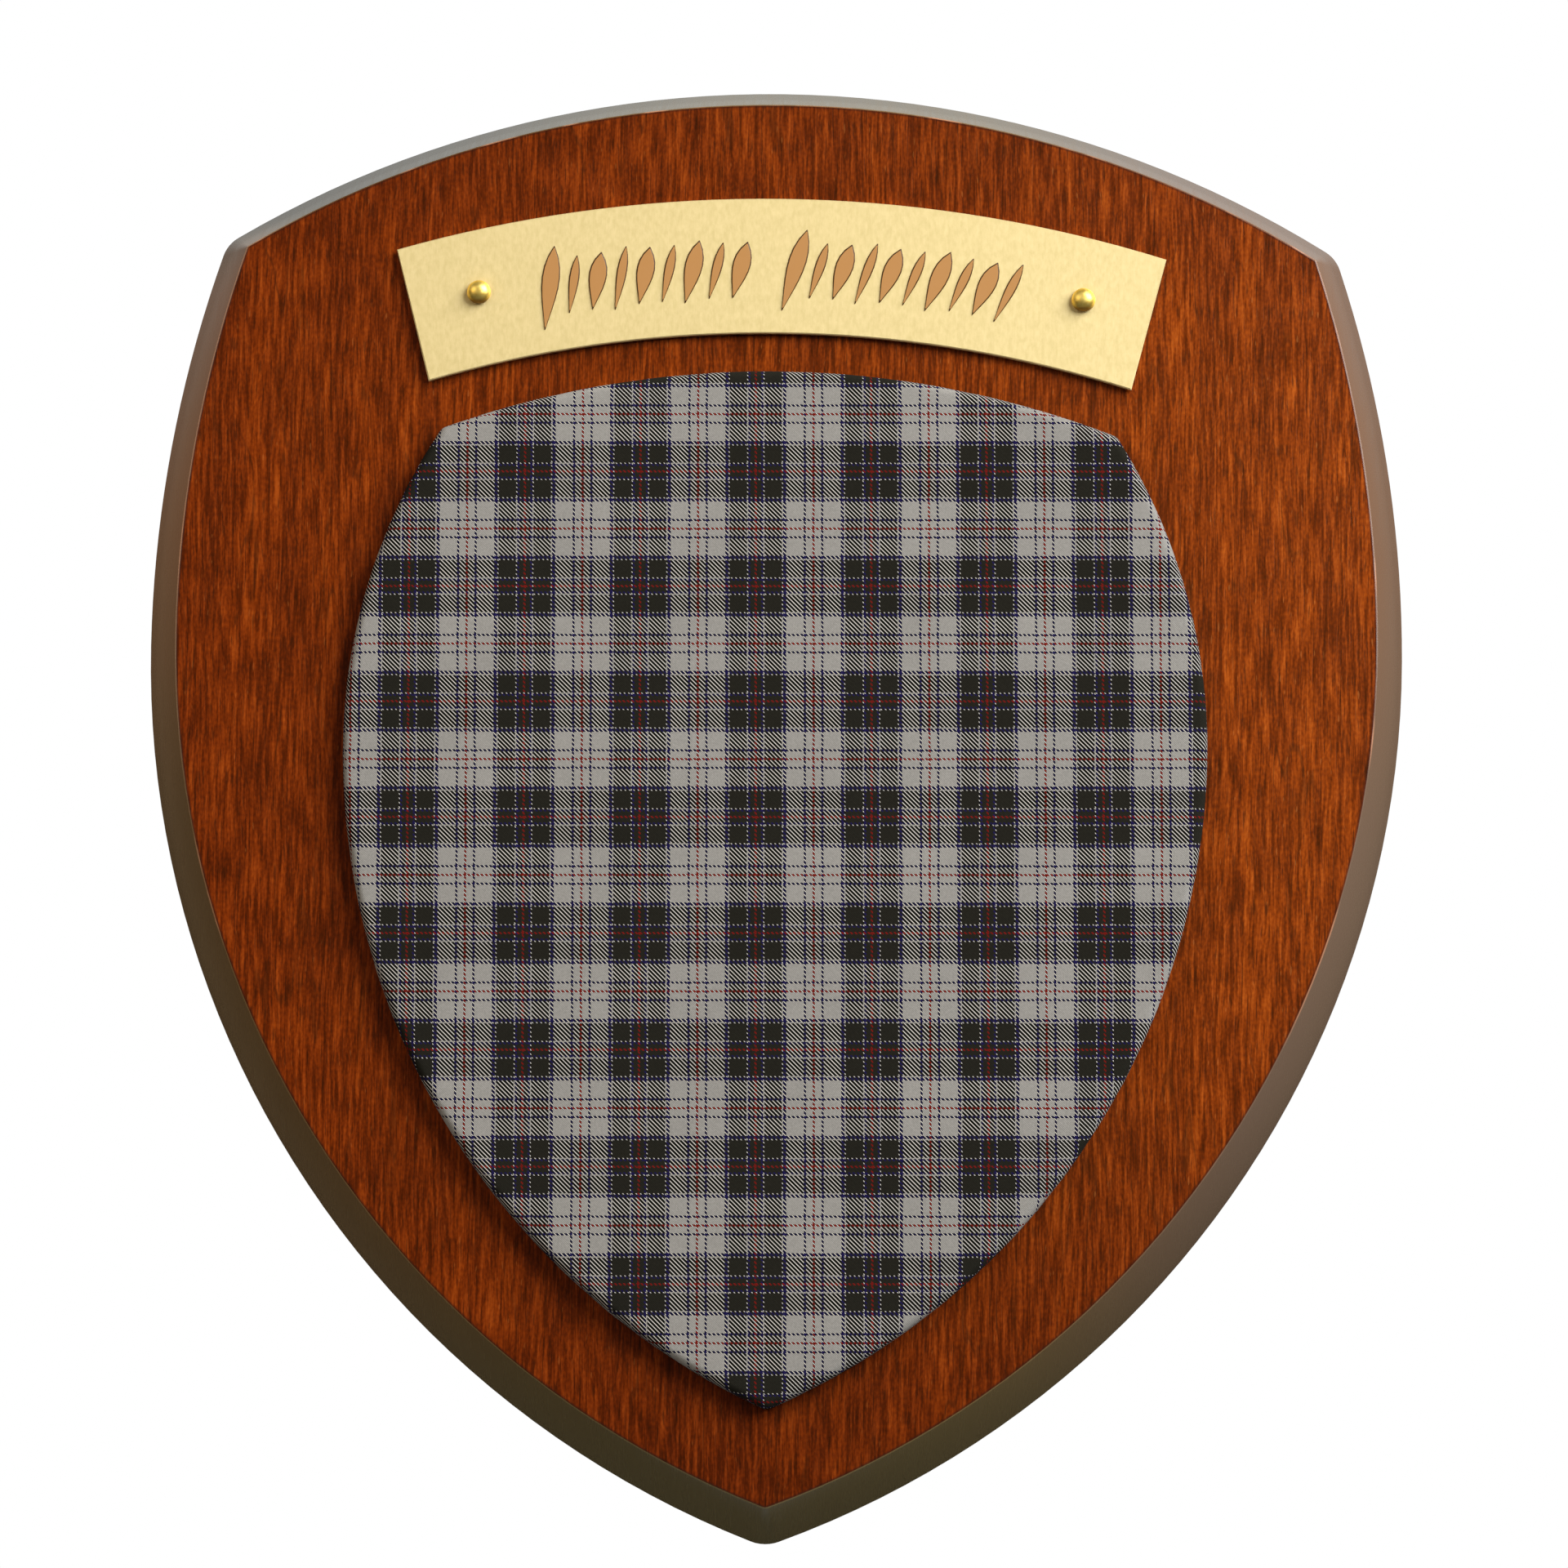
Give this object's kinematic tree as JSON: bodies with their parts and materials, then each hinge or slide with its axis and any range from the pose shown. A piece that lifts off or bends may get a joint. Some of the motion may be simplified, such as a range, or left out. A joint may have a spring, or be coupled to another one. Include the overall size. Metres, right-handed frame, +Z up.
{
  "type": "wooden wall plaque",
  "caption": "Shield-shaped wooden wall plaque with a bevelled edge, a raised tartan cloth panel and a curved brass name plate held by domed pins, hung by a keyhole slot.",
  "frame": {"origin": "middle of the flat back face, half way between the top of the shield and its tip", "axes": "+Z up along the plaque's height, +Y into the wall, and the decorated front faces -Y"},
  "size_m": [0.1524, 0.015, 0.1778],
  "materials": {
    "stained_wood": "satin lacquer",
    "tartan_cloth": "woven wool",
    "satin_brass": "satin",
    "polished_brass": "polished"
  },
  "bodies": {
    "root": {"shield_board": "stained_wood", "tartan_panel": "tartan_cloth", "name_plate": "satin_brass", "pin_left": "polished_brass", "pin_right": "polished_brass"}
  },
  "joints": []
}
